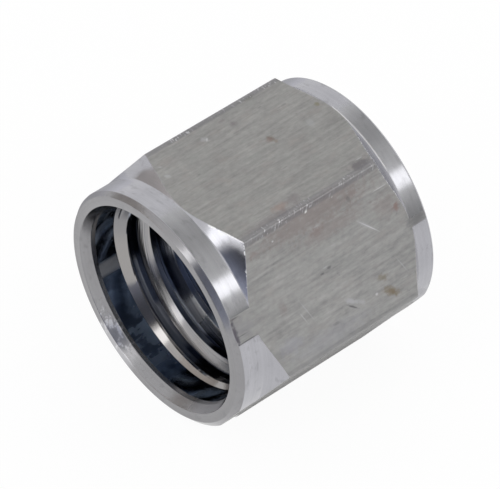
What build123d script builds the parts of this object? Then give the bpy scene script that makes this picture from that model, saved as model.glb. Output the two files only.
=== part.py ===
"""Threaded protection cap: one piece turned from hexagon bar, millimetres, +Z up.

The cap lies on one flat of its hexagon with its axis along Y and its open end
towards -Y. The origin is on the surface that it lies on, under mid-length.
"""
import os
from math import cos, radians, tan

from build123d import *

# Hexagon bar
across_flats = 17.0
overall_length = 16.7
corner_radius = 0.2

# Turned ends: each band stands just proud of the flats, behind it a steep conical shoulder
band_proud = 0.1
front_band_length = 2.0
rear_band_length = 1.4
shoulder_angle = 50.0
rear_bevel = 0.15

# Open face: a flat land, bevelled on the outside
face_bevel_depth = 0.4
face_bevel_width = 0.35

# Internal thread, M14 x 1.5, left at its minor diameter
thread_major_diameter = 14.0
thread_pitch = 1.5
minor_depth_per_pitch = 1.0825
thread_length = 7.0

# Bore in front of and behind the thread
counterbore_clearance = 0.45
counterbore_length = 1.85
mouth_taper_length = 0.7
mouth_taper_width = 0.375
countersink_angle = 45.0
drill_point_angle = 118.0

# Radii, from the bar and the thread
flat_radius = across_flats / 2
corner_reach = flat_radius / cos(radians(30))
band_radius = flat_radius + band_proud
thread_radius = (thread_major_diameter - minor_depth_per_pitch * thread_pitch) / 2
counterbore_radius = (thread_major_diameter + counterbore_clearance) / 2
mouth_radius = counterbore_radius + mouth_taper_width

# Depths of the bore, from the open face
counterbore_depth = mouth_taper_length + counterbore_length
countersink_depth = (counterbore_radius - thread_radius) / tan(radians(countersink_angle))
thread_start = counterbore_depth + countersink_depth
thread_end = thread_start + thread_length
drill_point_depth = thread_radius / tan(radians(drill_point_angle / 2))

# Planes on the cap's axis: one across it, one along it with depth and radius as x and y
open_face = Vector(0, -overall_length / 2, flat_radius)
across_axis = Plane(origin=open_face, x_dir=(1, 0, 0), z_dir=(0, 1, 0))
along_axis = Plane(origin=open_face, x_dir=(0, 1, 0), z_dir=(1, 0, 0))
cap_axis = Axis(open_face, (0, 1, 0))

with BuildPart() as cap:
    # Hexagon bar, cut to length
    with BuildSketch(across_axis) as bar_section:
        RegularPolygon(radius=flat_radius, side_count=6, major_radius=False)
        fillet(bar_section.vertices(), radius=corner_radius)
    extrude(amount=overall_length)

    # Turned outside: the cones run out on the six flats in curves
    shoulder_rise = corner_reach - band_radius
    shoulder_length = shoulder_rise / tan(radians(shoulder_angle))
    rear_band_start = overall_length - rear_band_length
    with BuildSketch(along_axis) as turned_profile:
        with BuildLine():
            Polyline(
                (0, 0),
                (0, band_radius - face_bevel_width),
                (face_bevel_depth, band_radius),
                (front_band_length, band_radius),
                (front_band_length + shoulder_length, corner_reach),
                (rear_band_start - shoulder_length, corner_reach),
                (rear_band_start, band_radius),
                (overall_length - rear_bevel, band_radius),
                (overall_length, band_radius - rear_bevel),
                (overall_length, 0),
                close=True,
            )
        make_face()
    revolve(axis=cap_axis, mode=Mode.INTERSECT)

    # Blind bore: tapered mouth, counterbore, countersink, thread bore, drill point
    with BuildSketch(along_axis) as bore_profile:
        with BuildLine():
            Polyline(
                (0, 0),
                (0, mouth_radius),
                (mouth_taper_length, counterbore_radius),
                (counterbore_depth, counterbore_radius),
                (thread_start, thread_radius),
                (thread_end, thread_radius),
                (thread_end + drill_point_depth, 0),
                close=True,
            )
        make_face()
    revolve(axis=cap_axis, mode=Mode.SUBTRACT)

cap.part.label = "cap"
os.makedirs("parts", exist_ok=True)
export_step(cap.part, "parts/cap.step")
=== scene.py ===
"""Threaded protection cap in bright steel: the finished cap and its studio.

The cap lies on one flat of its hexagon with its axis along Y and its open end
towards -Y. Sizes in the classes are millimetres and become metres where a mesh
is made. Angles round the axis start at the top and turn towards +X.
"""
import logging
import math
from dataclasses import dataclass, field
from enum import Enum
from typing import Any, Callable, Union

import bmesh
import bpy
from mathutils import Matrix, Vector


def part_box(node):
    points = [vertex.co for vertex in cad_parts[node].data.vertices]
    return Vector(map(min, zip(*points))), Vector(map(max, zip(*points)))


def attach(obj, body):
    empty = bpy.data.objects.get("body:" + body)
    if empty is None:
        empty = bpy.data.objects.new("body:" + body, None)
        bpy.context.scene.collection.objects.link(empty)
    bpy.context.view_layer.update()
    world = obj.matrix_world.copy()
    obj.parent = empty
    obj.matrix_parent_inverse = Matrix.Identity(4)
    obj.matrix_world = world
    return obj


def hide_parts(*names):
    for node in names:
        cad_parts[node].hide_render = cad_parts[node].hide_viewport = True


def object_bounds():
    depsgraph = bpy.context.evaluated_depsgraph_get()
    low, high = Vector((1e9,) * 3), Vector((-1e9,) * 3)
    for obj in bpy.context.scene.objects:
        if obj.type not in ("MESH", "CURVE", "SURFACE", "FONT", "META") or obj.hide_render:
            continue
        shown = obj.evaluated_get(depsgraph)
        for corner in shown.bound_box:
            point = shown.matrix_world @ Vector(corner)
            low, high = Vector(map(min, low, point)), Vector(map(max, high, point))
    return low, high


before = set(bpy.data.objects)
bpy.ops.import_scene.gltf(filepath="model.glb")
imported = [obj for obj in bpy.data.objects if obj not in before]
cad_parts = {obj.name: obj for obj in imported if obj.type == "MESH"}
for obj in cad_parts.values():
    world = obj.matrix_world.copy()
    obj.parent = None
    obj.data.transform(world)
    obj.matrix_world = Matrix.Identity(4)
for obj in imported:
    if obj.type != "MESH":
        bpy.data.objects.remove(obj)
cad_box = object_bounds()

MM = 0.001
BODY = "root"
CAD_NODE = "cap"
MERGE_DISTANCE = 0.0012 * MM
SHARP_ANGLE = math.radians(9)
FLAT_RADIUS = 8.5
PITCH = 1.5

log = logging.getLogger("threaded_cap")


class Zone(Enum):
    """The part of the cap that a face belongs to, in the order of its material slots."""

    FLATS = 0
    TURNED = 1
    FACE = 2
    BORE = 3


# Node trees


class Signal:
    """One output of a node tree, which takes part in Python expressions."""

    def __init__(self, graph: "Graph", socket: bpy.types.NodeSocket) -> None:
        """Keeps the graph that new nodes go to, and the socket itself."""
        self.graph = graph
        self.socket = socket

    def __add__(self, other: "Operand") -> "Signal":
        """self + other."""
        return self.graph.math("ADD", self, other)

    def __sub__(self, other: "Operand") -> "Signal":
        """self - other."""
        return self.graph.math("SUBTRACT", self, other)

    def __rsub__(self, other: "Operand") -> "Signal":
        """other - self."""
        return self.graph.math("SUBTRACT", other, self)

    def __mul__(self, other: "Operand") -> "Signal":
        """self * other."""
        return self.graph.math("MULTIPLY", self, other)

    def __truediv__(self, other: "Operand") -> "Signal":
        """self / other."""
        return self.graph.math("DIVIDE", self, other)

    def __rtruediv__(self, other: "Operand") -> "Signal":
        """other / self."""
        return self.graph.math("DIVIDE", other, self)

    __radd__ = __add__
    __rmul__ = __mul__

    def ramp(self, low: float, high: float) -> "Signal":
        """A smooth step.

        Args:
            low: the value where the step is 0.
            high: the value where it is 1, which may be the smaller of the two.

        Returns:
            The step, between 0 and 1.
        """
        sockets = {"Value": self, "From Min": min(low, high), "From Max": max(low, high)}
        smooth = {"interpolation_type": "SMOOTHSTEP"}
        step = self.graph.output("ShaderNodeMapRange", sockets, smooth)
        return step if low < high else 1 - step

    def clamp(self) -> "Signal":
        """The value held between 0 and 1."""
        return self.graph.math("MAXIMUM", self.graph.math("MINIMUM", self, 1.0), 0.0)


Operand = Union[Signal, float, int]
Colour = tuple[float, float, float]
Direction = tuple[float, float, float]
Offset = tuple[float, float]
Sockets = dict[Union[str, int], Any]
Settings = dict[str, Any]


class Graph:
    """Builds the nodes of one tree."""

    def __init__(self, tree: bpy.types.NodeTree) -> None:
        """Starts from an empty tree."""
        self.tree = tree
        tree.nodes.clear()

    def node(
        self, kind: str, sockets: Sockets | None = None, settings: Settings | None = None
    ) -> bpy.types.Node:
        """Adds a node.

        Args:
            kind: the node's type.
            sockets: a value or a Signal for each input that isn't left alone.
            settings: the node's own settings, set first.

        Returns:
            The new node.
        """
        made = self.tree.nodes.new(kind)
        for name, value in (settings or {}).items():
            setattr(made, name, value)
        for key, value in (sockets or {}).items():
            if isinstance(value, Signal):
                self.tree.links.new(value.socket, made.inputs[key])
            else:
                made.inputs[key].default_value = value
        return made

    def output(
        self,
        kind: str,
        sockets: Sockets | None = None,
        settings: Settings | None = None,
        which: str | int = 0,
    ) -> Signal:
        """Adds a node as node() does and returns one of its outputs."""
        return Signal(self, self.node(kind, sockets, settings).outputs[which])

    def math(self, operation: str, *values: Operand) -> Signal:
        """A Math node on one to three values."""
        return self.output("ShaderNodeMath", dict(enumerate(values)), {"operation": operation})

    def vector(self, x: Operand, y: Operand, z: Operand) -> Signal:
        """A vector from its three parts."""
        return self.output("ShaderNodeCombineXYZ", {0: x, 1: y, 2: z})

    def split(self, place: Signal) -> list[Signal]:
        """The three parts of a vector."""
        node = self.node("ShaderNodeSeparateXYZ", {0: place})
        return [Signal(self, part) for part in node.outputs]

    def mix(self, factor: Operand, below: Any, above: Any) -> Signal:
        """The colour below turned into the colour above by a factor."""
        sockets = {0: factor, 6: _rgba(below), 7: _rgba(above)}
        return self.output("ShaderNodeMix", sockets, {"data_type": "RGBA"}, 2)

    def layered(self, colour: Signal, *layers: tuple[Operand, Colour]) -> Signal:
        """Lays further colours over one.

        Args:
            colour: the colour below.
            layers: a factor and a colour for each layer, the lowest first.

        Returns:
            The colour on top.
        """
        for factor, above in layers:
            colour = self.mix(factor, colour, above)
        return colour

    def noise(self, place: Signal, scale: float, detail: float = 2.0, rough: float = 0.5) -> Signal:
        """Noise about 0.5 at a place in three dimensions."""
        sockets = {"Vector": place, "Scale": scale, "Detail": detail, "Roughness": rough}
        return self.output("ShaderNodeTexNoise", sockets, {"noise_dimensions": "3D"})

    def line_noise(self, along: Signal, scale: float, detail: float = 2.0) -> Signal:
        """Noise about 0.5 along one number."""
        sockets = {"W": along, "Scale": scale, "Detail": detail, "Roughness": 0.6}
        return self.output("ShaderNodeTexNoise", sockets, {"noise_dimensions": "1D"})


def _rgba(colour: Any) -> Any:
    """A Signal as it is, or three numbers as a colour with full alpha."""
    return colour if isinstance(colour, Signal) else (*colour, 1.0)


def new_material(name: str) -> bpy.types.Material:
    """Makes a material with a node tree.

    Args:
        name: the material's name.

    Returns:
        The new material.
    """
    material = bpy.data.materials.new(name)
    material.use_nodes = True
    return material


def new_object(name: str, data: Any) -> bpy.types.Object:
    """Puts data into the scene as an object at the origin.

    Args:
        name: the object's name.
        data: its mesh, lamp or camera.

    Returns:
        The new object.
    """
    item = bpy.data.objects.new(name, data)
    bpy.context.scene.collection.objects.link(item)
    return item


# Finishes


@dataclass(frozen=True)
class Sector:
    """A stretch round the axis: its middle in degrees, and where it starts and is full.

    Both limits are cosines of the angle from the middle.
    """

    middle: float
    start: float
    full: float


@dataclass(frozen=True)
class Mark:
    """A stain, rub or scratch, in millimetres from a flat's middle and the open face."""

    side: float
    across: float
    depth: float
    reach: Offset
    colour: Colour
    strength: float
    turn: float = 0.0
    ragged: float = 1.8
    core: float = 0.2


class MetalGraph(Graph):
    """The tree of a metal finish, with the places on the cap that patterns follow."""

    def __init__(self, material: bpy.types.Material, axis_height: float, face_y: float) -> None:
        """Splits Object coordinates into millimetres from the axis and from the open face.

        Args:
            material: the material that the tree belongs to.
            axis_height: height of the cap's axis in millimetres.
            face_y: the open face's Y in millimetres.
        """
        super().__init__(material.node_tree)
        x, y, z = self.split(self.output("ShaderNodeTexCoord", which="Object"))
        self.x = x / MM
        self.y = y / MM - face_y
        self.z = z / MM - axis_height
        self.radius = self.math("SQRT", self.x * self.x + self.z * self.z)
        self.place = self.vector(self.x, self.y, self.z)

    def stretched(self, along: float) -> Signal:
        """The place with its length along the axis scaled, below 1 to draw a pattern out."""
        return self.vector(self.x, self.y * along, self.z)

    def on_flat(self, side: float) -> tuple[Signal, Signal]:
        """Millimetres across the flat at an angle, and 1 where the surface is that flat."""
        there = self.reach(side).ramp(FLAT_RADIUS - 0.3, FLAT_RADIUS - 0.12)
        return self.reach(side + 90), there

    def marked(self, colour: Signal, marks: tuple[Mark, ...]) -> Signal:
        """Lays stains and scratches over a colour, with ragged edges.

        Args:
            colour: the metal below.
            marks: the stains and scratches.

        Returns:
            The stained colour.
        """
        ragged = self.noise(self.place, 3.0, 4.0, 0.6) - 0.5
        flats = {side: self.on_flat(side) for side in {mark.side for mark in marks}}
        for mark in marks:
            across, there = flats[mark.side]
            u, w = across - mark.across, self.y - mark.depth
            cosine, sine = math.cos(math.radians(mark.turn)), math.sin(math.radians(mark.turn))
            wide = (u * cosine - w * sine) / mark.reach[0]
            long = (w * cosine + u * sine) / mark.reach[1]
            away = self.math("SQRT", wide * wide + long * long)
            near = (away + ragged * mark.ragged).ramp(1.1, mark.core) * there
            colour = self.mix(near * mark.strength, colour, mark.colour)
        return colour

    def reach(self, angle: float) -> Signal:
        """How many millimetres a place is from the axis in the direction of an angle."""
        turn = math.radians(angle)
        return self.x * math.sin(turn) + self.z * math.cos(turn)

    def sector(self, sector: Sector) -> Signal:
        """1 in a stretch round the axis and 0 outside it."""
        return (self.reach(sector.middle) / self.radius).ramp(sector.start, sector.full)

    def rims(self) -> Signal:
        """1 close to the planes of the two flats in view, for the edges that run along them."""
        low, high = FLAT_RADIUS - 0.1, FLAT_RADIUS - 0.04
        return self.math("MAXIMUM", *(self.reach(side).ramp(low, high) for side in (TOP, SIDE)))

    def finish(self, colour: Signal, roughness: Operand, height: Signal, depth: float) -> None:
        """Ends the tree in a metal shader.

        Args:
            colour: the metal's colour.
            roughness: its roughness.
            height: the surface's relief, as a share of the depth.
            depth: the depth in millimetres.
        """
        relief = {"Strength": 1.0, "Distance": depth * MM, "Height": height}
        bump = self.output("ShaderNodeBump", relief)
        metal = {"Base Color": colour, "Metallic": 1.0, "Roughness": roughness, "Normal": bump}
        shader = self.output("ShaderNodeBsdfPrincipled", metal)
        self.node("ShaderNodeOutputMaterial", {0: shader})


BRIGHT: Colour = (0.80, 0.80, 0.84)
PALE: Colour = (0.52, 0.52, 0.55)
GREY: Colour = (0.17, 0.17, 0.18)
RUST: Colour = (0.30, 0.23, 0.22)
PURPLE: Colour = (0.20, 0.175, 0.19)
PINK: Colour = (0.305, 0.262, 0.255)
TOP, SIDE = 0.0, 60.0

# Each row holds a mark's values in their order, without the flat's angle.
SIDE_MARKS = (
    (-4.1, 8.6, (1.25, 6.2), PINK, 0.62),
    (-2.7, 9.5, (0.8, 3.6), PINK, 0.42),
    (-2.0, 13.8, (1.1, 1.3), PINK, 0.40),
    (-2.9, 8.4, (0.35, 0.7), RUST, 0.35),
    (-3.9, 11.9, (0.3, 0.6), RUST, 0.35),
    (-3.8, 3.5, (0.35, 0.5), RUST, 0.3),
    (0.5, 4.3, (0.55, 0.4), PINK, 0.42),
    (-1.5, 14.6, (0.35, 0.4), (0.30, 0.19, 0.17), 0.6),
    (3.5, 12.3, (0.38, 0.85), (0.24, 0.195, 0.135), 0.85, 40.0, 1.6, 0.1),
    (2.35, 12.0, (0.3, 0.5), (0.25, 0.22, 0.16), 0.6, 20.0),
    (4.0, 7.0, (1.0, 4.2), (0.40, 0.40, 0.44), 0.36),
    (3.0, 4.0, (0.7, 1.3), (0.40, 0.40, 0.47), 0.35),
    (2.6, 9.2, (0.22, 0.55), PALE, 0.7, 25.0),
    (3.0, 9.2, (0.09, 0.6), GREY, 0.85, 40.0, 0.5),
    (3.0, 9.9, (0.2, 0.4), PALE, 0.5, 35.0),
    (3.15, 11.2, (0.12, 0.15), BRIGHT, 0.5, 0.0, 0.8),
    (3.4, 7.7, (0.15, 0.4), GREY, 0.4),
    (-1.3, 12.2, (0.06, 1.15), BRIGHT, 0.62, 47.0, 0.25),
    (-1.55, 11.95, (0.2, 0.8), PALE, 0.35, 47.0, 0.6),
    (-3.25, 13.9, (0.05, 0.75), BRIGHT, 0.45, 0.0, 0.3),
    (1.5, 5.9, (0.05, 1.2), PALE, 0.5, 70.0, 0.3),
    (1.8, 5.5, (0.05, 0.6), BRIGHT, 0.3, 70.0, 0.3),
    (2.3, 13.7, (0.05, 0.9), PALE, 0.5, 68.0, 0.3),
    (-0.15, 7.85, (0.1, 0.2), GREY, 0.75),
    (-0.3, 8.45, (0.13, 0.35), GREY, 0.7),
    (-0.45, 8.2, (0.07, 0.3), PALE, 0.6, 0.0, 0.6),
    (-4.55, 8.15, (0.10, 0.19), (1.0, 1.0, 1.0), 1.0, -40.0, 0.5),
    (-4.7, 8.55, (0.07, 0.14), BRIGHT, 0.9, -40.0, 0.5),
    (-4.65, 10.2, (0.07, 0.2), BRIGHT, 0.5, -40.0, 0.5),
    (-4.45, 10.3, (0.05, 0.1), BRIGHT, 0.4, -40.0, 0.5),
    (-3.95, 5.15, (0.08, 0.1), BRIGHT, 0.6, 0.0, 0.5),
    (-3.75, 11.4, (0.25, 0.2), GREY, 0.5),
    (0.15, 1.0, (1.1, 1.1), (0.31, 0.31, 0.33), 0.5),
    (0.2, 0.45, (1.2, 0.25), (0.10, 0.09, 0.12), 0.8, 0.0, 2.4),
    (1.06, 1.2, (0.08, 1.0), (0.12, 0.12, 0.13), 0.8, 0.0, 0.3),
    (0.55, 0.9, (0.06, 0.6), (0.14, 0.14, 0.15), 0.6, 0.0, 0.5),
    (-0.75, 0.7, (0.08, 0.5), (0.15, 0.14, 0.16), 0.7, 0.0, 0.3),
    (0.1, 15.9, (0.9, 1.2), (0.20, 0.20, 0.21), 0.75, 0.0, 0.8),
)
TOP_MARKS = (
    (-0.9, 10.33, (0.34, 0.36), (0.20, 0.155, 0.13), 1.0, 0.0, 1.2, 0.0),
    (-0.85, 10.15, (0.28, 0.4), PINK, 0.6, 0.0, 1.0),
    (-0.55, 10.5, (0.2, 0.2), (0.25, 0.20, 0.17), 0.5),
    (4.0, 6.9, (0.45, 0.75), (0.34, 0.255, 0.23), 0.55),
    (3.95, 8.0, (0.5, 0.8), PURPLE, 0.38),
    (4.45, 6.0, (0.35, 3.6), PURPLE, 0.45),
    (4.35, 13.3, (0.45, 1.1), (0.175, 0.165, 0.18), 0.75),
    (3.95, 13.6, (0.06, 0.35), PALE, 0.5),
    (-3.5, 7.0, (0.3, 0.35), PALE, 0.42, 30.0, 2.2, 0.0),
    (-3.4, 7.1, (0.08, 0.2), BRIGHT, 0.35, -50.0, 0.6),
    (-3.4, 9.3, (0.3, 0.35), PURPLE, 0.55),
    (-4.1, 8.9, (0.2, 0.3), PURPLE, 0.45),
    (-2.5, 3.1, (0.16, 0.25), PALE, 0.45, 30.0, 2.2),
    (-3.4, 3.2, (0.1, 0.25), PALE, 0.4, 30.0, 2.2),
    (-1.4, 14.7, (0.22, 0.25), (0.24, 0.225, 0.17), 0.8),
    (-1.35, 4.75, (0.07, 0.16), GREY, 0.5),
    (-2.7, 9.6, (0.1, 1.1), GREY, 0.32),
    (-2.7, 12.9, (0.1, 0.5), GREY, 0.35),
    (-3.5, 11.6, (0.08, 0.2), GREY, 0.45),
    (1.6, 9.4, (0.06, 0.22), GREY, 0.35),
    (-0.4, 13.3, (0.4, 0.35), (0.42, 0.42, 0.45), 0.35),
    (-4.6, 11.5, (0.18, 0.7), (0.20, 0.20, 0.16), 0.5),
    (-4.6, 9.0, (0.16, 5.0), GREY, 0.30),
)
FLAT_MARKS = (*(Mark(SIDE, *row) for row in SIDE_MARKS), *(Mark(TOP, *row) for row in TOP_MARKS))


@dataclass(frozen=True)
class DrawnFlats:
    """The bar's own skin: dull, with draw lines along the axis, stains and small dents."""

    light: Colour = (0.425, 0.419, 0.412)
    dark: Colour = (0.216, 0.215, 0.214)
    warm: Colour = (0.340, 0.315, 0.305)
    cool: Colour = (0.315, 0.325, 0.315)
    side_tint: Colour = (0.8, 0.8, 0.82)
    side_lift: float = 0.125
    roughness: float = 0.40
    relief: float = 0.0017
    corner_dark: Colour = (0.20, 0.195, 0.215)
    edge_radius: float = 9.60
    edge_width: float = 0.07
    crown_start: float = 2.0
    crown_end: float = 5.0
    marks: tuple[Mark, ...] = FLAT_MARKS

    def build(self, graph: MetalGraph) -> None:
        """Fills a material's tree.

        Args:
            graph: the tree.
        """
        cloud = graph.noise(graph.place, 0.5, 2.0)
        lines = graph.noise(graph.stretched(0.05), 3.6, 4.0, 0.7)
        dashes = graph.noise(graph.stretched(0.2), 3.6, 3.0, 0.6)
        pits = graph.noise(graph.stretched(0.6), 4.0, 3.0, 0.6)
        _, side = graph.on_flat(SIDE)
        strength = 0.8 + side * 0.45
        grain = (lines - 0.5) * 1.05 + (dashes - 0.5) * 0.8
        grain = grain + (cloud - 0.5) * 0.45 + (pits - 0.5) * 0.7
        shade = (0.5 + grain * strength).clamp()
        hue = graph.noise(graph.stretched(0.5), 1.3, 3.0, 0.6)
        colour = graph.layered(
            graph.mix(shade, self.dark, self.light),
            (hue.ramp(0.52, 0.72) * 0.45, self.warm),
            (hue.ramp(0.48, 0.30) * 0.35, self.cool),
            (side * self.side_lift, self.side_tint),
        )

        scratch = dashes.ramp(0.66, 0.76) * side
        corner = graph.radius.ramp(self.edge_radius, self.edge_radius + self.edge_width)
        edge = corner * graph.z.ramp(self.crown_start, self.crown_end)
        slanted = graph.vector(graph.x * 1.2, graph.y * 3.0 - graph.z * 2.4, graph.z * 1.2)
        clusters = graph.noise(graph.place, 0.45, 1.0).ramp(0.42, 0.55)
        nick_glint = graph.noise(slanted, 2.2, 2.0, 0.6).ramp(0.56, 0.70) * (clusters * 0.85 + 0.15)
        colour = graph.layered(
            graph.marked(colour, self.marks),
            (scratch * 0.3, PALE),
            (pits.ramp(0.30, 0.22) * 0.45, PURPLE),
            # Painted shade: the corners near the floor are darker, for the shadowed floor that they
            # reflect.
            (corner * graph.z.ramp(3.0, 1.0) * 0.3, GREY),
            # Darker along the upper corners.
            (edge * 0.5, self.corner_dark),
            # Painted glints: the nicks are dented by the relief and painted white where they would
            # catch the light.
            (edge * nick_glint * 0.55, BRIGHT),
        )
        height = lines * 0.8 + dashes * 0.8 + pits * 0.8 + edge * nick_glint * 1.5
        roughness = self.roughness - scratch * 0.06 - edge * nick_glint * 0.15
        graph.finish(colour, roughness, height, self.relief)


@dataclass(frozen=True)
class TurnedSteel:
    """Metal left by the lathe: fine rings round the axis, and painted highlights along some edges.

    The radii and depths are millimetres. Where dull is more than 0, the finish also has the
    open face's land with its dirt, painted shade and a painted highlight on the land, scuffs
    painted white as glints, and a paler, rougher stretch of the lip.
    """

    light: Colour = (0.47, 0.47, 0.50)
    dark: Colour = (0.36, 0.36, 0.385)
    roughness: float = 0.17
    ring_rate: float = 9.0
    relief: float = 0.0006
    rear_edge: float = 15.31
    rear_highlight_sector: Sector = Sector(15.0, 0.935, 0.955)
    closed_end: float = 16.5
    shoulder_radius: float = 8.68
    tip_highlight_sector: Sector = Sector(31.0, 0.955, 0.975)
    edge_highlight: Colour = (0.95, 0.95, 0.95)
    land_inner: float = 7.6
    land_outer: float = 8.24
    lip_sector: Sector = Sector(133.0, 0.93, 0.99)
    land_shade_sector: Sector = Sector(115.0, -0.3, 0.9)
    dull: float = 0.0
    reflected_shade: Colour = (0.12, 0.12, 0.12)
    dirty: Colour = (0.12, 0.11, 0.10)
    land_highlight_sector: Sector = Sector(209.0, 0.96, 0.995)
    bright: float = 0.0
    scuff_glint_sector: Sector = Sector(216.0, 0.965, 0.99)

    def build(self, graph: MetalGraph) -> None:
        """Fills a material's tree.

        Args:
            graph: the tree.
        """
        across = graph.y + graph.radius * 0.77
        rings = graph.line_noise(across, self.ring_rate, 3.0)
        broad = graph.line_noise(across, self.ring_rate * 0.2, 2.0)
        cloud = graph.noise(graph.place, 0.6, 3.0)
        pits = graph.noise(graph.place, 6.0, 2.0)
        shade = (rings * 0.5 + broad * 0.4 + cloud * 0.8 - 0.35).clamp()
        smear = graph.noise(graph.stretched(2.0), 1.2, 3.0).ramp(0.55, 0.72)
        at_end = graph.y.ramp(self.closed_end, self.closed_end + 0.1)
        colour = graph.mix(shade, self.dark, self.light)
        colour = graph.mix(smear * (0.25 - at_end * 0.18), colour, GREY)
        roughness = self.roughness + (cloud - 0.5) * 0.1
        if self.dull > 0:
            inner, outer = self.land_inner, self.land_outer
            lip = graph.sector(self.lip_sector) * graph.radius.ramp(inner, inner - 0.04)
            land = graph.radius.ramp(inner - 0.04, inner + 0.04)
            land = land * graph.radius.ramp(outer + 0.04, outer - 0.04)
            dirt = graph.noise(graph.place, 3.5, 4.0, 0.65).ramp(0.58, 0.72)
            upright = graph.vector(graph.x, graph.y, graph.z * 0.4)
            scuff = graph.noise(upright, 2.4, 3.0, 0.6).ramp(0.5, 0.64)
            roughness = roughness + lip * 0.35
            colour = graph.layered(
                colour,
                (lip * 0.8, PALE),
                # Painted shade and a painted highlight on the land, for the cap's shadow and the
                # bright floor that it reflects.
                (graph.sector(self.land_shade_sector) * land * self.dull, self.reflected_shade),
                (graph.sector(self.land_highlight_sector) * land * self.bright, BRIGHT),
                (dirt * 0.25, self.dirty),
                # Scuffs on the land, painted white as glints only in one stretch round the axis.
                (graph.sector(self.scuff_glint_sector) * scuff * 0.45, BRIGHT),
            )

        # Painted highlights: white nicks where the shoulders meet the flats near a corner, and a
        # white line along the rear band's front edge.
        nick_glint = graph.noise(graph.place, 3.0, 2.0, 0.6).ramp(0.46, 0.58)
        rise = graph.radius.ramp(self.shoulder_radius, self.shoulder_radius + 0.1)
        tip = graph.rims() * rise * graph.sector(self.tip_highlight_sector) * nick_glint
        off_edge = graph.math("ABSOLUTE", graph.y - self.rear_edge)
        line = off_edge.ramp(0.09, 0.04) * graph.sector(self.rear_highlight_sector)
        lit = graph.math("MAXIMUM", tip, line * 0.5)
        colour = graph.mix(lit * 0.85, colour, self.edge_highlight)
        roughness = roughness + lit * 0.35
        graph.finish(colour, roughness, rings + broad * 1.2 + pits * 0.25, self.relief)


TURNED_FACE = TurnedSteel(
    light=(0.345, 0.342, 0.352), dark=(0.255, 0.252, 0.262), roughness=0.2, dull=0.2, bright=0.35
)


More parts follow.
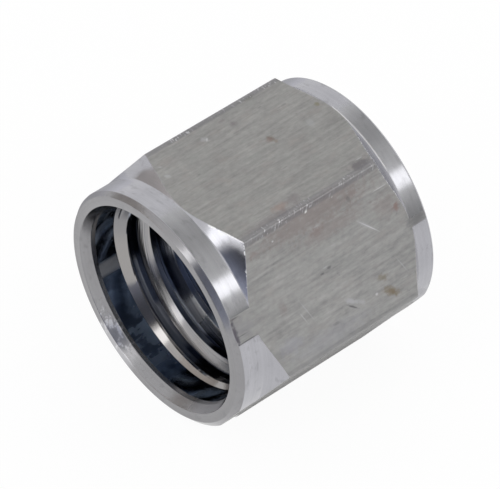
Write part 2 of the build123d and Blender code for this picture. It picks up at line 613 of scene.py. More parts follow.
@dataclass(frozen=True)
class BoredSteel:
    """The bright bore: a dark mottled wall, tool lines on the thread, painted shade in the gaps
    between turns, and painted light on the second turn's front flank and the thread's upper side.

    The depths are millimetres from the open face. The starts and ends of the crests, the grooves
    and the second turn's front flank are pitches from flank_start.
    """

    light: Colour = (0.375, 0.365, 0.36)
    dark: Colour = (0.20, 0.205, 0.23)
    rim: Colour = (0.33, 0.318, 0.312)
    wall: Colour = (0.24, 0.29, 0.36)
    blot: Colour = (0.08, 0.10, 0.14)
    groove_shade: Colour = (0.045, 0.055, 0.085)
    painted_flank_light: Colour = (0.95, 0.94, 0.93)
    upper: Colour = (0.60, 0.65, 0.74)
    scuffs_and_stripe: Colour = (0.46, 0.45, 0.45)
    lower: Sector = Sector(205.0, 0.15, 0.4)
    shadow: Sector = Sector(224.0, 0.955, 0.985)
    gleam: Sector = Sector(202.0, 0.985, 0.996)
    lit: Sector = Sector(202.0, 0.955, 0.985)
    crest_shadow: Sector = Sector(218.0, 0.80, 0.93)
    far_side: Sector = Sector(285.0, 0.88, 1.0)
    stripe: Sector = Sector(248.0, 0.9950, 0.9992)
    glow: Sector = Sector(203.0, 0.93, 0.99)
    roughness: float = 0.12
    wall_roughness: float = 0.09
    flank_roughness: float = 0.24
    pitch: float = PITCH
    flank_start: float = 3.95
    wall_end: float = 2.56
    thread_start: float = 3.3
    crest_start: float = 0.25
    crest_end: float = 0.54
    groove_start: float = 0.68
    second_start: float = 0.85
    second_end: float = 1.68
    line_rate: float = 4.5
    relief: float = 0.014

    def build(self, graph: MetalGraph) -> None:
        """Fills a material's tree.

        Args:
            graph: the tree.
        """
        thread = graph.y.ramp(self.thread_start - 0.2, self.thread_start)
        wall = graph.y.ramp(self.wall_end, self.wall_end - 0.06)
        turn = graph.math("ARCTAN2", 0 - graph.x, 0 - graph.z) / math.tau
        phase = (graph.y - self.flank_start) / self.pitch - turn
        share = graph.math("FRACT", phase)
        lower = graph.sector(self.lower)
        second = phase.ramp(self.second_start, self.second_start + 0.12)
        second = second * (1 - phase.ramp(self.second_end, self.second_end + 0.06) * lower)
        groove_shade = share.ramp(self.groove_start, self.groove_start + 0.05) * share.ramp(1.0, 0.97)
        crest = share.ramp(self.crest_start, self.crest_start + 0.05)
        crest = crest * share.ramp(self.crest_end, self.crest_end - 0.04)
        inside = graph.y.ramp(self.thread_start - 0.1, self.thread_start + 0.05) * lower
        lines = graph.line_noise(graph.radius * 1.3 + graph.y, self.line_rate, 3.0)
        mottle = graph.noise(graph.stretched(0.5), 0.9, 3.0, 0.6)
        specks = graph.noise(graph.place, 3.2, 4.0, 0.7)
        streaks = (lines * 2.2 - 0.6).clamp() * 0.75 + 0.25
        shadow, gleam = graph.sector(self.shadow), graph.sector(self.gleam)
        rim = (1 - thread) * (1 - wall)
        hidden = inside * groove_shade * (1 - graph.sector(self.lit))
        deeper = phase.ramp(self.second_end + 0.01, self.second_end + 0.08)
        stripe = graph.sector(self.stripe) * wall
        glow = graph.sector(self.glow) * wall
        scuffs = graph.y.ramp(2.0, 2.3) * wall
        speck = specks.ramp(0.60, 0.70) * (scuffs * 0.8 + wall * 0.2)
        colour = graph.layered(
            graph.mix((lines * 1.9 - 0.35).clamp(), self.dark, self.light),
            (rim, self.rim),
            (rim * graph.sector(self.far_side) * 0.5, self.dark),
            (wall, self.wall),
            (wall * mottle.ramp(0.52, 0.40) * 0.55, self.blot),
            # Painted light: the thread's upper side, mostly out of view, is pale so that the lower
            # flanks reflect it brighter.
            ((1 - wall) * thread * (1 - lower), self.upper),
            # Painted light: the second turn's front flank is near white in streaks, for the light
            # it reflects from outside.
            (second * lower * (streaks * 0.6 + 0.4) * (1 - shadow * 0.9), self.painted_flank_light),
            # Painted shade: dark on the flank away from the light, in the gaps between turns, under
            # the crests and on the deeper turns.
            (second * shadow * lower * 0.85, self.groove_shade),
            (hidden * 0.92, self.groove_shade),
            (inside * crest * graph.sector(self.crest_shadow) * 0.85, self.groove_shade),
            (deeper * lower * 0.92, self.groove_shade),
            # A pale stripe along the counterbore at one angle, and pale scuffs.
            (stripe * 0.75 + speck * 0.6, self.scuffs_and_stripe),
        )
        roughness = self.roughness + (specks - 0.5) * 0.05
        roughness = roughness - wall * (self.roughness - self.wall_roughness)
        roughness = roughness + second * (self.flank_roughness - self.roughness) * (streaks + gleam)
        roughness = roughness + (1 - wall) * (1 - lower) * 0.15
        roughness = roughness + stripe * 0.5 + glow * 0.3 * mottle.ramp(0.3, 0.6) + speck * 0.3
        height = lines * (thread * 0.97 + 0.03) + specks * 0.02
        graph.finish(colour, roughness, height, self.relief)


# The thread


@dataclass
class ThreadedBore:
    """The internal thread with the countersink that it starts in, all sizes in millimetres."""

    pitch: float = PITCH
    major_radius: float = 7.0
    minor_radius: float = 6.188
    countersink_radius: float = 7.225
    countersink_depth: float = 2.55
    end_depth: float = 10.587
    run_out: float = 1.2
    crest_depth: float = 3.61
    first_groove_lead: float = 0.45
    crest_share: float = 0.25
    flank_share: float = 0.3125
    root_share: float = 0.125
    rows_on_crest: int = 3
    rows_on_rear_flank: int = 4
    rows_on_root: int = 2
    rows_on_front_flank: int = 10

    def rows(self) -> list[float]:
        """Places the rows of the sheet.

        Returns:
            Their places in pitches from the first crest's front edge.
        """
        steps = (
            (self.crest_share, self.rows_on_crest),
            (self.flank_share, self.rows_on_rear_flank),
            (self.root_share, self.rows_on_root),
            (self.flank_share, self.rows_on_front_flank),
        )
        first = math.floor((self.countersink_depth - self.crest_depth) / self.pitch) - 1
        last = math.ceil((self.end_depth - self.crest_depth) / self.pitch)
        rows: list[float] = []
        for turn in range(first, last + 1):
            start = float(turn)
            for share, count in steps:
                rows.extend(start + share * k / count for k in range(count))
                start += share
        return rows + [float(last + 1)]

    def sheet(self, columns: list[float]) -> bpy.types.Object:
        """The unrolled bore wall: angle along X, pitches along Y.

        Args:
            columns: angles round the axis in radians, in rising order from 0.

        Returns:
            A new object with the flat sheet as its mesh.
        """
        angles = columns + [math.tau]
        rows = self.rows()
        points = [(angle, row, 0.0) for row in rows for angle in angles]
        width = len(angles)
        faces = [
            (r * width + c, r * width + c + 1, (r + 1) * width + c + 1, (r + 1) * width + c)
            for r in range(len(rows) - 1)
            for c in range(width - 1)
        ]
        mesh = bpy.data.meshes.new("thread_sheet")
        mesh.from_pydata(points, [], faces)
        return new_object("thread_sheet", mesh)

    def inputs(self, face_y: float, axis_height: float) -> dict[str, Any]:
        """Names what the tree takes in.

        Args:
            face_y: the open face's Y in millimetres.
            axis_height: the axis's height in millimetres.

        Returns:
            Lengths in metres, and the shares and the lead in pitches, under the inputs' names.
        """
        lengths = {
            "Pitch": self.pitch,
            "Major Radius": self.major_radius,
            "Minor Radius": self.minor_radius,
            "Crest Depth": self.crest_depth,
            "Countersink Radius": self.countersink_radius,
            "Countersink Depth": self.countersink_depth,
            "End Depth": self.end_depth,
            "Run Out": self.run_out,
            "Face Y": face_y,
            "Axis Height": axis_height,
        }
        return {name: length * MM for name, length in lengths.items()} | {
            "Crest Share": self.crest_share,
            "Flank Share": self.flank_share,
            "First Groove Lead": self.first_groove_lead,
        }

    def tree(self, names: list[str]) -> bpy.types.GeometryNodeTree:
        """Rolls a sheet up round the axis and cuts the thread and the countersink into it.

        Args:
            names: the inputs that hold a number.

        Returns:
            The new tree.
        """
        tree = bpy.data.node_groups.new("cut_thread", "GeometryNodeTree")
        tree.interface.new_socket("Geometry", in_out="INPUT", socket_type="NodeSocketGeometry")
        for name in names:
            tree.interface.new_socket(name, in_out="INPUT", socket_type="NodeSocketFloat")
        tree.interface.new_socket("Material", in_out="INPUT", socket_type="NodeSocketMaterial")
        tree.interface.new_socket("Geometry", in_out="OUTPUT", socket_type="NodeSocketGeometry")
        graph = Graph(tree)
        given = {s.name: Signal(graph, s) for s in graph.node("NodeGroupInput").outputs}
        angle, row, _ = graph.split(graph.output("GeometryNodeInputPosition"))
        turned = angle / math.tau
        start, end = given["Countersink Depth"], given["End Depth"]
        crest, flank = given["Crest Share"], given["Flank Share"]

        depth = given["Crest Depth"] + given["Pitch"] * (row + turned)
        depth = graph.math("MAXIMUM", graph.math("MINIMUM", depth, end), start)
        share = graph.math("FRACT", row)
        rise = ((share - crest) / flank).clamp()
        fall = ((1 - share) / flank).clamp()
        lead = given["First Groove Lead"] * turned.ramp(0.95, 0.75) * turned.ramp(0.0, 0.06)
        first_rise = ((row + lead + 1 - crest) / flank).clamp()
        first_cut = graph.math("MINIMUM", first_rise, ((0 - row) / flank).clamp())
        cut = graph.math("MAXIMUM", graph.math("MINIMUM", rise, fall), first_cut)
        cut = cut * ((end - depth) / given["Run Out"]).clamp()
        thread = given["Minor Radius"] + (given["Major Radius"] - given["Minor Radius"]) * cut
        cone = given["Countersink Radius"] - (depth - start)
        radius = graph.math("MAXIMUM", thread, cone)

        rolled = graph.vector(
            radius * graph.math("SINE", angle),
            given["Face Y"] + depth,
            given["Axis Height"] + radius * graph.math("COSINE", angle),
        )
        moved = graph.output(
            "GeometryNodeSetPosition", {"Geometry": given["Geometry"], "Position": rolled}
        )
        merged = graph.output(
            "GeometryNodeMergeByDistance", {"Geometry": moved, "Distance": MERGE_DISTANCE}
        )
        real = graph.output("GeometryNodeRealizeInstances", {0: merged})
        dressed = graph.output(
            "GeometryNodeSetMaterial", {"Geometry": real, "Material": given["Material"]}
        )
        graph.node("NodeGroupOutput", {0: dressed})
        return tree

    def build(
        self, columns: list[float], face_y: float, axis_height: float, metal: bpy.types.Material
    ) -> bpy.types.Mesh:
        """Makes the thread's mesh.

        Args:
            columns: angles round the axis in radians.
            face_y: the open face's Y in millimetres.
            axis_height: the axis's height in millimetres.
            metal: the bore's finish.

        Returns:
            A plain mesh in metres, open at both ends.
        """
        sheet = self.sheet(columns)
        modifier = sheet.modifiers.new("cut_thread", "NODES")
        values = self.inputs(face_y, axis_height)
        modifier.node_group = self.tree(list(values))
        values["Material"] = metal
        for item in modifier.node_group.interface.items_tree:
            if item.in_out == "INPUT" and item.name in values:
                modifier[item.identifier] = values[item.name]
        graph = bpy.context.evaluated_depsgraph_get()
        mesh = bpy.data.meshes.new_from_object(sheet.evaluated_get(graph))
        sheet.modifiers.remove(modifier)
        bpy.data.objects.remove(sheet)
        return mesh


# The cap


@dataclass(frozen=True)
class Corner:
    """A corner of the cap's section: its place, how far it is rounded, and the skin after it."""

    depth: float
    radius: float
    reach: float = 0.0
    zone: Zone = Zone.TURNED


@dataclass
class ThreadedCap:
    """The cap, turned from hexagon bar, all sizes in millimetres."""

    flat_radius: float = FLAT_RADIUS
    corner_radius: float = 0.2
    length: float = 16.7
    band_radius: float = 8.6
    front_band_end: float = 2.0
    rear_band_start: float = 15.3
    shoulder_start_angle: float = 30.0
    shoulder_end_angle: float = 64.0
    shoulder_reach: float = 1.22
    shoulder_steps: int = 5
    front_run_out: Offset = (0.02, -0.125)
    rear_run_out: Offset = (-0.045, -0.113)
    rear_bevel: float = 0.15
    closed_end_radii: tuple[float, ...] = (6.5, 4.0, 1.5, 0.0)
    drill_angle: float = 118.0
    drill_rings: int = 4
    land_outer_radius: float = 8.25
    face_bevel_depth: float = 0.4
    mouth_radius: float = 7.6
    taper_end_depth: float = 0.7
    taper_end_radius: float = 7.275
    counterbore_start_depth: float = 1.0
    column_step: float = 1.5
    column_gap: float = 0.3
    corner_columns: int = 8
    edge_softness: float = 0.04
    edge_share: float = 0.3
    shoulder_fillet: float = 0.2
    edge_steps: int = 7
    edge_margin: float = 0.04
    thread: ThreadedBore = field(default_factory=ThreadedBore)

    def __post_init__(self) -> None:
        """Takes the cap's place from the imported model, and works out the corners' arcs."""
        low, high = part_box(CAD_NODE)
        self.face_y = low.y / MM
        self.axis_height = (low.z + high.z) / 2 / MM
        self.arc_centre = (self.flat_radius - self.corner_radius) / math.cos(math.radians(30))

    def hexagon_radius(self, angle: float) -> float:
        """Measures the bar with its rounded corners.

        Args:
            angle: degrees round the axis.

        Returns:
            The bar's radius at the angle.
        """
        off_flat = (angle + 30) % 60 - 30
        off_corner = math.radians(30 - abs(off_flat))
        reach = self.arc_centre * math.sin(off_corner)
        flat = self.flat_radius / math.cos(math.radians(off_flat))
        if reach >= self.corner_radius:
            return flat
        arc = math.sqrt(self.corner_radius**2 - reach**2)
        return min(flat, self.arc_centre * math.cos(off_corner) + arc)

    def turned_radius(self, angle: float, run_out: Offset) -> float:
        """A band's radius at an angle in degrees, with its circle a little off the bar's axis."""
        turn = math.radians(angle)
        return self.band_radius + run_out[0] * math.sin(turn) + run_out[1] * math.cos(turn)

    def notch_ends(self, run_out: Offset) -> list[float]:
        """Finds where a band's circle crosses the flats.

        Args:
            run_out: how far right and up the circle is off the bar's axis.

        Returns:
            Angles round the axis in degrees.
        """

        def proud(angle: float) -> float:
            """How far the band's circle stands out of the bar."""
            return self.turned_radius(angle, run_out) - self.hexagon_radius(angle)

        ends: list[float] = []
        for start in range(360):
            low, high = float(start), float(start + 1)
            if (proud(low) > 0) == (proud(high) > 0):
                continue
            for _ in range(30):
                middle = (low + high) / 2
                if (proud(low) > 0) == (proud(middle) > 0):
                    low = middle
                else:
                    high = middle
            ends.append(low % 360)
        return ends

    def columns(self) -> list[float]:
        """Chooses the cap's columns: even steps, the corners' arcs and the notches' ends.

        Returns:
            Angles round the axis in degrees, in rising order.
        """
        special = self.notch_ends(self.front_run_out) + self.notch_ends(self.rear_run_out)
        for side in range(6):
            for k in range(self.corner_columns + 1):
                turn = math.radians(-30 + 60 * k / self.corner_columns)
                across = self.corner_radius * math.sin(turn)
                out = self.arc_centre + self.corner_radius * math.cos(turn)
                special.append(60 * side + 30 + math.degrees(math.atan2(across, out)))
        even = [k * self.column_step for k in range(round(360 / self.column_step))]
        kept = [a for a in even if all(abs(a - s) > self.column_gap for s in special)]
        return sorted(kept + special)

    def shoulder(self, rise: float) -> float:
        """Follows the curve of a hollow shoulder.

        Args:
            rise: height above the band.

        Returns:
            How far the shoulder runs along the axis up to that height.
        """
        start = math.radians(self.shoulder_start_angle)
        end = math.radians(self.shoulder_end_angle)
        radius = self.shoulder_reach / (math.cos(start) - math.cos(end))
        here = math.acos(math.cos(start) - rise / radius)
        return radius * (math.sin(here) - math.sin(start))

    def slope(self, start: float, way: int, band: float, bar: float) -> list[Corner]:
        """A shoulder's points from its band outwards, with way 1 to run deeper or -1 back."""
        rises = [(bar - band) * (k / self.shoulder_steps) for k in range(1, self.shoulder_steps)]
        return [Corner(start + way * self.shoulder(rise), band + rise) for rise in rises]

    def profile(self, angle: float) -> list[Corner]:
        """The section at an angle, from the counterbore's end round to the rear centre.

        Args:
            angle: degrees round the axis.

        Returns:
            The section's corners, in the same number and order at every angle.
        """
        bar = self.hexagon_radius(angle)
        front = self.turned_radius(angle, self.front_run_out)
        rear = self.turned_radius(angle, self.rear_run_out)
        front_band, rear_band = min(front, bar), min(rear, bar)
        front_skin = Zone.FLATS if bar < front else Zone.TURNED
        rear_skin = Zone.FLATS if bar < rear else Zone.TURNED
        bevel_share = (front_band - self.land_outer_radius) / (front - self.land_outer_radius)
        end_radius = min(rear - self.rear_bevel, rear_band - self.edge_softness)
        bore = self.thread.countersink_radius
        soft, fillet = self.edge_softness, self.shoulder_fillet
        front_shoulder = self.slope(self.front_band_end, 1, front_band, bar)
        rear_shoulder = self.slope(self.rear_band_start, -1, rear_band, bar)
        front_tip = self.front_band_end + self.shoulder(bar - front_band)
        rear_tip = self.rear_band_start - self.shoulder(bar - rear_band)
        return [
            Corner(self.thread.countersink_depth, bore, 0.0, Zone.BORE),
            Corner(self.counterbore_start_depth, bore, 0.0, Zone.FACE),
            Corner(self.taper_end_depth, self.taper_end_radius, soft, Zone.FACE),
            Corner(0.0, self.mouth_radius, soft, Zone.FACE),
            Corner(0.0, self.land_outer_radius, soft, Zone.FACE),
            Corner(self.face_bevel_depth * bevel_share, front_band, soft, front_skin),
            Corner(self.front_band_end, front_band, fillet),
            *front_shoulder,
            Corner(front_tip, bar, soft, Zone.FLATS),
            Corner(rear_tip, bar, soft),
            *reversed(rear_shoulder),
            Corner(self.rear_band_start, rear_band, soft, rear_skin),
            Corner(self.length - (rear_band - end_radius), rear_band, soft),
            Corner(self.length, end_radius, soft),
            *(Corner(self.length, radius) for radius in self.closed_end_radii),
        ]

    def softened(self, profile: list[Corner]) -> list[Corner]:
        """Rounds the corners of a section with small arcs, each between two close points.

        Args:
            profile: the section's corners.

        Returns:
            The points of the rounded section.
        """
        points: list[Corner] = []
        for k, corner in enumerate(profile):
            if corner.reach == 0.0:
                points.append(corner)
                continue
            here = Vector((corner.depth, corner.radius))
            before = here - Vector((profile[k - 1].depth, profile[k - 1].radius))
            after = Vector((profile[k + 1].depth, profile[k + 1].radius)) - here
            room = min(before.length, after.length) * self.edge_share
            cut = min(corner.reach, room)
            margin = min(self.edge_margin, cut)
            way_in, way_out = before.normalized(), after.normalized()
            arc = [-way_in * (cut + margin)]
            for step in range(self.edge_steps + 1):
                arc.append(self._arc_point(way_in, way_out, step / self.edge_steps) * cut)
            arc.append(way_out * (cut + margin))
            for step, away in enumerate(arc):
                zone = profile[k - 1].zone if step < len(arc) / 2 else corner.zone
                points.append(Corner(*(here + away), 0.0, zone))
        return points

    @staticmethod
    def _arc_point(way_in: Vector, way_out: Vector, share: float) -> Vector:
        """Follows the arc that rounds a corner at 0, with its ends one unit from the corner.

        Args:
            way_in: direction towards the corner, of length 1.
            way_out: direction away from it, of length 1.
            share: 0 at the arc's start and 1 at its end.

        Returns:
            The point on the arc.
        """
        turn = way_in.angle(way_out, 0.0) if way_in.length and way_out.length else 0.0
        if turn < 1e-4:
            return way_in * (share - 1) if share < 0.5 else way_out * share
        radius = 1 / math.tan(turn / 2)
        inward = (way_out - way_in * math.cos(turn)) / math.sin(turn)
        swing = turn * share
        return -way_in + (way_in * math.sin(swing) + inward * (1 - math.cos(swing))) * radius

    def outside(self, angle: float) -> list[Corner]:
        """The rounded section of the mouth, the outside and the closed end at an angle."""
        return self.softened(self.profile(angle))

    def drill_point(self) -> list[Corner]:
        """Makes the section of the bore's closed end.

        Returns:
            Its points, from the thread's end to the tip.
        """
        start, radius, rings = self.thread.end_depth, self.thread.minor_radius, self.drill_rings
        reach = radius / math.tan(math.radians(self.drill_angle / 2))
        return [
            Corner(start + reach * k / rings, radius * (1 - k / rings), zone=Zone.BORE)
            for k in range(rings + 1)
        ]

    def point(self, angle: float, depth: float, radius: float) -> Vector:
        """Turns a place round the axis into one in the scene.

        Args:
            angle: degrees round the axis.
            depth: millimetres from the open face.
            radius: millimetres from the axis.

        Returns:
            The place in metres.
        """
        turn = math.radians(angle)
        across, up = radius * math.sin(turn), self.axis_height + radius * math.cos(turn)
        return Vector((across, self.face_y + depth, up)) * MM

    def build(self, metals: dict[Zone, bpy.types.Material]) -> bpy.types.Object:
        """Makes the cap as one closed piece.

        Args:
            metals: the finish of each zone.

        Returns:
            The finished object.
        """
        columns = self.columns()
        shape = bmesh.new()
        thread = self.thread.build(
            [math.radians(a) for a in columns], self.face_y, self.axis_height, metals[Zone.BORE]
        )
        shape.from_mesh(thread)
        bpy.data.meshes.remove(thread)
        for face in shape.faces:
            face.material_index = Zone.BORE.value
        self._add_skin(shape, columns, self.outside)
        drill_point = self.drill_point()
        self._add_skin(shape, columns, lambda _: drill_point)
        bmesh.ops.remove_doubles(shape, verts=shape.verts[:], dist=MERGE_DISTANCE)
        bmesh.ops.recalc_face_normals(shape, faces=shape.faces[:])
        if shape.calc_volume(signed=True) < 0:
            bmesh.ops.reverse_faces(shape, faces=shape.faces[:])
        for face in shape.faces:
            face.smooth = True
        for edge in shape.edges:
            edge.smooth = edge.is_manifold and edge.calc_face_angle(0.0) < SHARP_ANGLE
        open_edges = sum(not edge.is_manifold for edge in shape.edges)
        volume = shape.calc_volume() / MM**3
        log.info("%d faces, %d open edges, %.1f cubic mm", len(shape.faces), open_edges, volume)
        mesh = bpy.data.meshes.new("cap_body")
        shape.to_mesh(mesh)
        shape.free()
        for zone in Zone:
            mesh.materials.append(metals[zone])
        return new_object("cap_body", mesh)

    def _add_skin(
        self,
        shape: bmesh.types.BMesh,
        columns: list[float],
        section: Callable[[float], list[Corner]],
    ) -> None:
        """Adds the faces between the sections at the columns.

        Args:
            shape: the mesh that they go to.
            columns: angles round the axis in degrees.
            section: gives the points of the section at an angle.
        """
        grid = [
            [shape.verts.new(self.point(angle, row.depth, row.radius)) for row in section(angle)]
            for angle in columns
        ]
        for c, angle in enumerate(columns):
            n = (c + 1) % len(columns)
            middle = (angle + (columns[n] - angle) % 360 / 2) % 360
            for r, row in enumerate(section(middle)[:-1]):
                face = shape.faces.new((grid[c][r], grid[c][r + 1], grid[n][r + 1], grid[n][r]))
                face.material_index = row.zone.value


# The studio


@dataclass(frozen=True)
class Softbox:
    """An area lamp that looks at the cap from a direction, its height leaning along a line."""

    name: str
    towards: Direction
    distance: float
    width: float
    height: float
    power: float
    along: Direction

    def build(self, target: Vector) -> None:
        """Adds the lamp.

        Args:
            target: where it is aimed.
        """
        lamp = bpy.data.lights.new(self.name, "AREA")
        lamp.shape = "RECTANGLE"
        lamp.size = self.width
        lamp.size_y = self.height
        lamp.energy = self.power
        way, up = Vector(self.towards).normalized(), Vector(self.along)
        up = (up - way * up.dot(way)).normalized()
        turn = Matrix((up.cross(way), up, way)).transposed().to_4x4()
        item = new_object(self.name, lamp)
        item.matrix_world = Matrix.Translation(target + way * self.distance) @ turn
        item.visible_camera = False


@dataclass(frozen=True)
class Card:
    """A card near the cap, seen only in the metal, between two rows of corners.

    A card whose distance is MM has its corners in millimetres from the cap's middle. Where the
    upper row has no tones of its own, it has the lower row's.
    """

    name: str
    distance: float
    colour: Colour
    lower: tuple[Direction, ...]
    upper: tuple[Direction, ...]
    lower_tones: tuple[float, ...]
    upper_tones: tuple[float, ...] = ()

    def build(self, target: Vector) -> bpy.types.Object:
        """Adds the card, its corners the distance times their directions away.

        Args:
            target: where the directions start.

        Returns:
            The new card.
        """
        points = [target + Vector(way) * self.distance for way in self.lower + self.upper]
        count = len(self.lower)
        faces = [(k, k + 1, count + k + 1, count + k) for k in range(count - 1)]
        mesh = bpy.data.meshes.new(self.name)
        mesh.from_pydata(points, [], faces)
        painted = mesh.attributes.new("tone", "FLOAT_COLOR", "POINT")
        tones = self.lower_tones + (self.upper_tones or self.lower_tones)
        for corner, tone in zip(painted.data, tones):
            corner.color = (*(tone * part for part in self.colour), 1.0)
        material = new_material(self.name)
        graph = Graph(material.node_tree)
        colour = graph.output("ShaderNodeAttribute", settings={"attribute_name": "tone"})
        shader = graph.output("ShaderNodeBsdfDiffuse", {"Color": colour})
        graph.node("ShaderNodeOutputMaterial", {0: shader})
        mesh.materials.append(material)
        item = new_object(self.name, mesh)
        item.visible_camera = False
        item.visible_shadow = False
        item.visible_diffuse = False
        return item


HOOP_ANGLES = (-36.0, -26.0, -16.0, -4.0, 6.0, 16.0, 30.0, 48.0, 60.0, 68.0, 76.0, 84.0, 89.0)
HOOP_TURNS = [math.radians(angle) for angle in HOOP_ANGLES]
HOOP_TONES = (1.0, 0.8, 0.66, 0.62, 0.65, 0.77, 0.84, 0.88, 0.84, 0.70, 0.54, 0.42, 0.36)


def hoop(along: float) -> tuple[Direction, ...]:
    """Directions round the cap's axis that lean towards its closed end by a sine."""
    out = math.sqrt(1 - along * along)
    return tuple((out * math.sin(turn), along, out * math.cos(turn)) for turn in HOOP_TURNS)


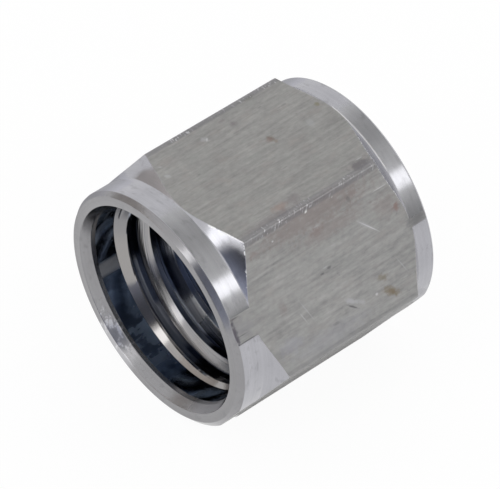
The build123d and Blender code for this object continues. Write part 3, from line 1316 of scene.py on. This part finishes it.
@dataclass
class Studio:
    """White floor and surroundings, soft lamps, cards and the camera."""

    target: Vector
    floor_size: float = 3.0
    floor_white: float = 0.88
    floor_glow: float = 0.94
    surround: float = 1.0
    camera_place: Direction = (0.126195, -0.114385, 0.196042)
    camera_right: Direction = (0.647091, 0.761881, 0.028470)
    camera_up: Direction = (-0.576106, 0.464165, 0.672795)
    lens: float = 279.16
    sensor: float = 36.0
    lamps: tuple[Softbox, ...] = (
        Softbox("key_lamp", (0.690, 0.33, 0.643), 0.35, 0.084, 0.190, 0.079, (0.0, 1.0, 0.0)),
        Softbox(
            "strip_lamp", (-0.045, -0.86, 0.50), 0.40, 0.080, 0.56, 0.225, (0.295, 0.459, 0.81)
        ),
    )
    cards: tuple[Card, ...] = (
        Card(
            "dark_card",
            0.5,
            (0.88, 0.94, 1.18),
            ((0.0, -1.0, 0.02), (0.25, -0.97, 0.02), (0.5, -0.87, 0.02), (0.74, -0.67, 0.02)),
            ((0.1, -0.89, 0.45), (0.28, -0.42, 0.86), (0.56, -0.4, 0.73), (0.76, -0.58, 0.3)),
            (0.02, 0.05, 0.40, 0.6),
            (0.02, 0.30, 0.5, 0.6),
        ),
        Card(
            "low_card",
            MM,
            (0.9, 0.95, 1.15),
            ((-9.0, -44.0, -8.2), (-8.5, -36.0, -8.2), (-6.0, -27.0, -8.2), (-5.5, -18.5, -8.2)),
            ((3.0, -44.0, -8.2), (2.0, -36.0, -8.2), (0.5, -27.0, -8.2), (-1.0, -20.0, -8.2)),
            (0.02, 0.02, 0.05, 0.4),
        ),
        Card(
            "floor_card",
            MM,
            (0.98, 0.98, 1.03),
            ((-150, -10, -8.2), (-70, -12, -8.2), (-30, -12, -8.2), (-16, -12, -8.2)),
            ((-150, 90, -8.2), (-70, 90, -8.2), (-30, 60, -8.2), (-16, 60, -8.2)),
            (0.85, 0.78, 0.52, 0.42),
        ),
        Card(
            "side_card",
            MM,
            (1.0, 1.0, 1.0),
            ((5.1, -7.0, -8.3), (8.4, -3.0, -8.3), (11.0, -1.5, -8.3), (13.5, 0.0, -8.3)),
            ((5.1, 14.0, -8.3), (8.4, 11.5, -8.3), (11.0, 10.8, -8.3), (13.5, 10.2, -8.3)),
            (0.96, 0.92, 0.90, 0.88),
        ),
        Card(
            "brown_card",
            0.6,
            (1.0, 0.94, 0.89),
            ((-0.45, -0.89, 0.01), (-0.7, -0.7, 0.01), (-0.92, -0.38, 0.01), (-0.99, -0.1, 0.01)),
            ((-0.36, -0.6, 0.71), (-0.58, -0.45, 0.68), (-0.75, -0.3, 0.59), (-0.88, -0.1, 0.46)),
            (0.85, 0.78, 0.55, 0.52),
            (0.85, 0.80, 0.66, 0.60),
        ),
        Card("grey_card", 0.6, (1.0, 1.0, 0.97), hoop(0.18), hoop(0.74), HOOP_TONES),
    )

    def seen_plainly(self, graph: Graph) -> Signal:
        """Tells rays that show the floor from those that light the cap.

        Args:
            graph: the floor's tree.

        Returns:
            1 for rays from the camera, a mirror or glass, and 0 for diffuse light.
        """
        path = graph.node("ShaderNodeLightPath")
        kinds = ("Is Camera Ray", "Is Glossy Ray", "Is Transmission Ray")
        camera, glossy, glass = (Signal(graph, path.outputs[kind]) for kind in kinds)
        return graph.math("MAXIMUM", graph.math("MAXIMUM", camera, glossy), glass)

    def build_floor(self) -> bpy.types.Object:
        """Adds the white floor, which keeps a faint shadow.

        Returns:
            The floor.
        """
        half = self.floor_size / 2
        mesh = bpy.data.meshes.new("floor")
        corners = [(-half, -half, 0), (half, -half, 0), (half, half, 0), (-half, half, 0)]
        mesh.from_pydata(corners, [], [(0, 1, 2, 3)])
        material = new_material("white_floor")
        graph = Graph(material.node_tree)
        white = (*(self.floor_white,) * 3, 1.0)
        paint = graph.output("ShaderNodeBsdfDiffuse", {"Color": white})
        glow = graph.output("ShaderNodeEmission", {"Strength": 1.0})
        share = self.seen_plainly(graph) * self.floor_glow
        mixed = graph.output("ShaderNodeMixShader", {0: share, 1: paint, 2: glow})
        graph.node("ShaderNodeOutputMaterial", {0: mixed})
        mesh.materials.append(material)
        return new_object("floor", mesh)

    def build_world(self) -> None:
        """White surroundings."""
        world = bpy.data.worlds.new("white_surroundings")
        world.use_nodes = True
        graph = Graph(world.node_tree)
        light = {"Color": (1.0, 1.0, 1.0, 1.0), "Strength": self.surround}
        sky = graph.output("ShaderNodeBackground", light)
        graph.node("ShaderNodeOutputWorld", {0: sky})
        bpy.context.scene.world = world

    def build_camera(self) -> None:
        """The camera at the cap's front right, above it."""
        data = bpy.data.cameras.new("camera")
        data.lens = self.lens
        data.sensor_width = self.sensor
        data.sensor_fit = "HORIZONTAL"
        data.clip_start = 0.01
        data.clip_end = 10.0
        right, up = Vector(self.camera_right), Vector(self.camera_up)
        turn = Matrix((right, up, right.cross(up))).transposed().to_4x4()
        camera = new_object("camera", data)
        camera.matrix_world = Matrix.Translation(self.camera_place) @ turn
        bpy.context.scene.camera = camera

    def build(self) -> list[bpy.types.Object]:
        """Makes the studio.

        Returns:
            What stands in it beside the cap.
        """
        bpy.context.scene.view_settings.view_transform = "Standard"
        self.build_camera()
        self.build_world()
        for lamp in self.lamps:
            lamp.build(self.target)
        return [self.build_floor(), *(card.build(self.target) for card in self.cards)]


# Main


def metal(name: str, finish: Any, cap: ThreadedCap) -> bpy.types.Material:
    """Makes one of the cap's materials.

    Args:
        name: its name.
        finish: the finish that fills its tree.
        cap: the cap, for the places that patterns follow.

    Returns:
        The new material.
    """
    material = new_material(name)
    finish.build(MetalGraph(material, cap.axis_height, cap.face_y))
    return material


def main() -> None:
    """Builds the cap, its finishes and the studio."""
    logging.basicConfig(level=logging.INFO, format="%(name)s: %(message)s")
    cap = ThreadedCap()
    metals = {
        Zone.FLATS: metal("drawn_flats", DrawnFlats(), cap),
        Zone.TURNED: metal("turned_bands", TurnedSteel(), cap),
        Zone.FACE: metal("turned_face", TURNED_FACE, cap),
        Zone.BORE: metal("bored_steel", BoredSteel(), cap),
    }
    body = cap.build(metals)
    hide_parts(CAD_NODE)
    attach(body, BODY)
    log.info("%s rides on %s", body.name, BODY)

    low, high = cad_box
    studio = Studio(target=(low + high) / 2)
    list(studio.build())


if __name__ == "__main__":
    main()
